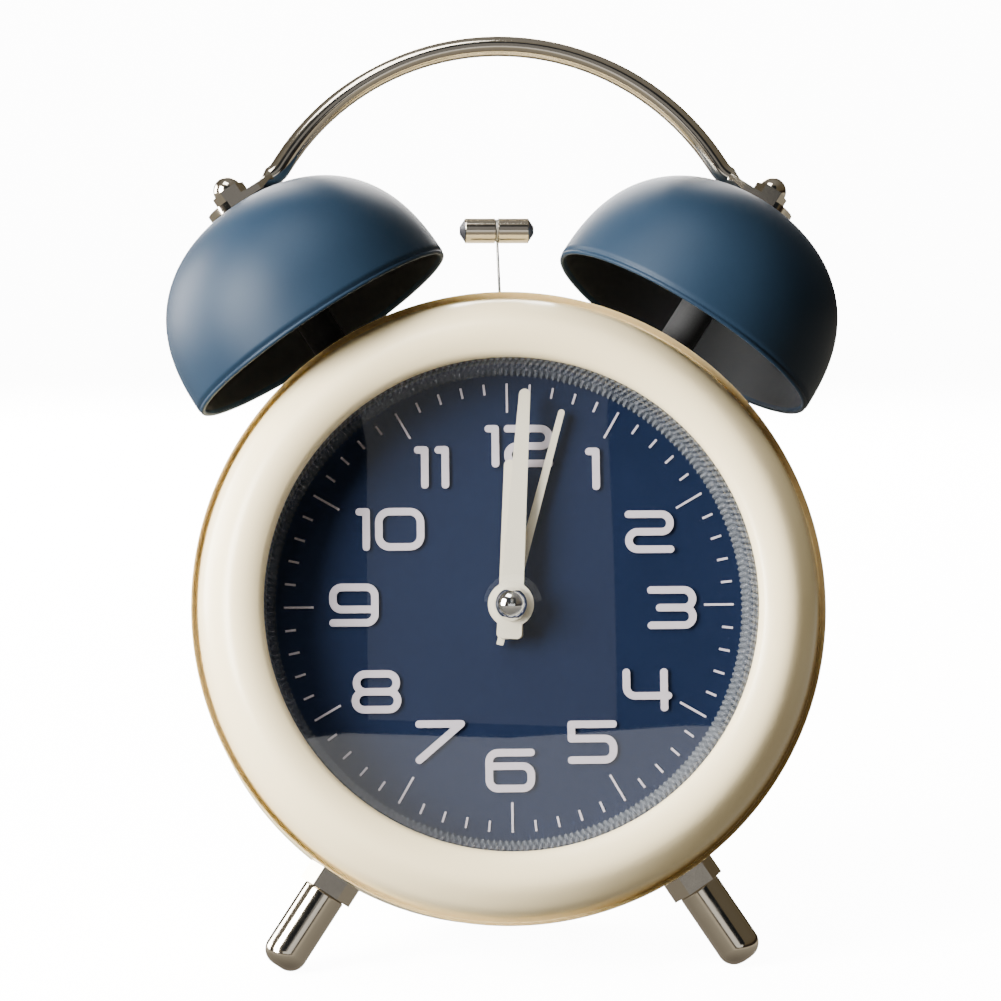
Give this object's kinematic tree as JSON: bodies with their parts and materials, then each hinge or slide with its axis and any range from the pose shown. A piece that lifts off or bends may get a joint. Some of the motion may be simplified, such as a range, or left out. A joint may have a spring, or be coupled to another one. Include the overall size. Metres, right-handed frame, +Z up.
{
  "type": "alarm clock",
  "caption": "Round battery alarm clock with two bells on top, a swinging hammer between them, a bent carry handle, splayed legs and setting knobs at the back.",
  "frame": {"origin": "on the floor, under the middle of the whole clock's box", "axes": "+Z up, -Y towards the viewer that the dial faces, +X to the viewer's right"},
  "size_m": [0.1211, 0.069, 0.1609],
  "materials": {
    "cream_case": "gloss",
    "blue_bell": "satin",
    "bright_metal": "polished",
    "plated_steel": "satin",
    "clear_glass": "polished",
    "clear_ring": "gloss",
    "blue_dial": "satin",
    "dial_print": "matte",
    "cream_hand": "satin",
    "grey_tip": "matte",
    "black_rubber": "matte",
    "dark_plastic": "satin",
    "white_plastic": "satin",
    "dark_magnet": "matte",
    "copper_winding": "satin",
    "board_green": "satin",
    "light_emitter": "gloss",
    "battery_jacket": "gloss"
  },
  "bodies": {
    "case": {"alarm_switch_body": "dark_plastic", "batteries": "battery_jacket", "battery_contacts": "plated_steel", "bell_posts": "plated_steel", "bell_spacers": "plated_steel", "bell_washers": "black_rubber", "cap_nuts": "bright_metal", "case_shell": "cream_case", "circuit_board": "board_green", "cover_screws": "plated_steel", "crystal": "clear_glass", "dial": "blue_dial", "dial_light": "light_emitter", "dial_numerals": "dial_print", "hammer_bracket": "plated_steel", "hammer_pin": "plated_steel", "handle": "bright_metal", "inner_screws": "plated_steel", "left_bell": "blue_bell", "left_leg": "bright_metal", "leg_nuts": "bright_metal", "light_ring": "clear_ring", "light_switch": "dark_plastic", "lock_nuts": "plated_steel", "magnet_coil": "copper_winding", "magnet_core": "plated_steel", "minute_marks": "dial_print", "motor_coil": "copper_winding", "movement_board": "board_green", "movement_case": "white_plastic", "movement_plate": "white_plastic", "quartz_crystal": "plated_steel", "rear_cover": "cream_case", "right_bell": "blue_bell", "right_leg": "bright_metal", "stator": "plated_steel"},
    "minute_hand_body": {"minute_hand": "cream_hand", "hand_cap": "bright_metal", "centre_wheel": "white_plastic"},
    "hour_hand_body": {"hour_hand": "cream_hand", "hour_wheel": "white_plastic"},
    "alarm_hand_body": {"alarm_hand": "cream_hand", "alarm_wheel": "white_plastic"},
    "time_setter": {"minute_wheel": "white_plastic", "time_knob": "dark_plastic"},
    "alarm_setter": {"alarm_pinion": "white_plastic", "alarm_knob": "dark_plastic"},
    "third_wheel_body": {"third_wheel": "white_plastic"},
    "rotor_body": {"rotor": "dark_magnet"},
    "hammer": {"hammer_lever": "white_plastic", "hammer_armature": "plated_steel", "hammer_wire": "plated_steel", "hammer_head": "bright_metal", "hammer_tips": "grey_tip"},
    "light_button_body": {"light_button": "dark_plastic"},
    "alarm_switch_slider": {"alarm_switch": "dark_plastic"},
    "battery_door_body": {"battery_door": "cream_case"}
  },
  "joints": [
    {"name": "minute_hand_turn", "type": "hinge", "parent": "case", "child": "minute_hand_body", "pos_m": [0, -0.00521, 0.05986], "axis": [0, 0.9686, -0.2487], "continuous": true},
    {"name": "hour_hand_turn", "type": "hinge", "parent": "case", "child": "hour_hand_body", "pos_m": [0, -0.00521, 0.05986], "axis": [0, 0.9686, -0.2487], "continuous": true},
    {"name": "time_knob_turn", "type": "hinge", "parent": "case", "child": "time_setter", "pos_m": [-0.0096, -0.00521, 0.05986], "axis": [0, 0.9686, -0.2487], "continuous": true},
    {"name": "third_wheel_turn", "type": "hinge", "parent": "case", "child": "third_wheel_body", "pos_m": [0, -0.00739, 0.05139], "axis": [0, 0.9686, -0.2487], "continuous": true},
    {"name": "alarm_hand_turn", "type": "hinge", "parent": "case", "child": "alarm_hand_body", "pos_m": [0, -0.00521, 0.05986], "axis": [0, 0.9686, -0.2487], "continuous": true},
    {"name": "alarm_knob_turn", "type": "hinge", "parent": "case", "child": "alarm_setter", "pos_m": [0.00936, -0.00521, 0.05986], "axis": [0, 0.9686, -0.2487], "continuous": true},
    {"name": "rotor_turn", "type": "hinge", "parent": "case", "child": "rotor_body", "pos_m": [-0.00499, -0.00916, 0.04448], "axis": [0, 0.9686, -0.2487], "continuous": true},
    {"name": "hammer_swing", "type": "hinge", "parent": "case", "child": "hammer", "pos_m": [0, 0.00499, 0.09957], "axis": [0, 0.9686, -0.2487], "range_deg": [-8.3, 12.1]},
    {"name": "light_button_press", "type": "slide", "parent": "case", "child": "light_button_body", "axis": [0, -0.9686, 0.2487], "range_m": [0, 0.0008], "stiffness_N_per_m": 300, "springref_m": -0.0005},
    {"name": "alarm_switch_slide", "type": "slide", "parent": "case", "child": "alarm_switch_slider", "axis": [1, 0, 0], "range_m": [0, 0.004]},
    {"name": "battery_door_slide", "type": "slide", "parent": "case", "child": "battery_door_body", "axis": [0, 0.9686, -0.2487], "range_m": [0, 0.012]}
  ],
  "couplings": [
    {"joint": "hour_hand_turn", "follows": "minute_hand_turn", "ratio": 0.083333},
    {"joint": "time_knob_turn", "follows": "minute_hand_turn", "ratio": -0.33333},
    {"joint": "third_wheel_turn", "follows": "minute_hand_turn", "ratio": -6},
    {"joint": "alarm_knob_turn", "follows": "alarm_hand_turn", "ratio": -5}
  ]
}
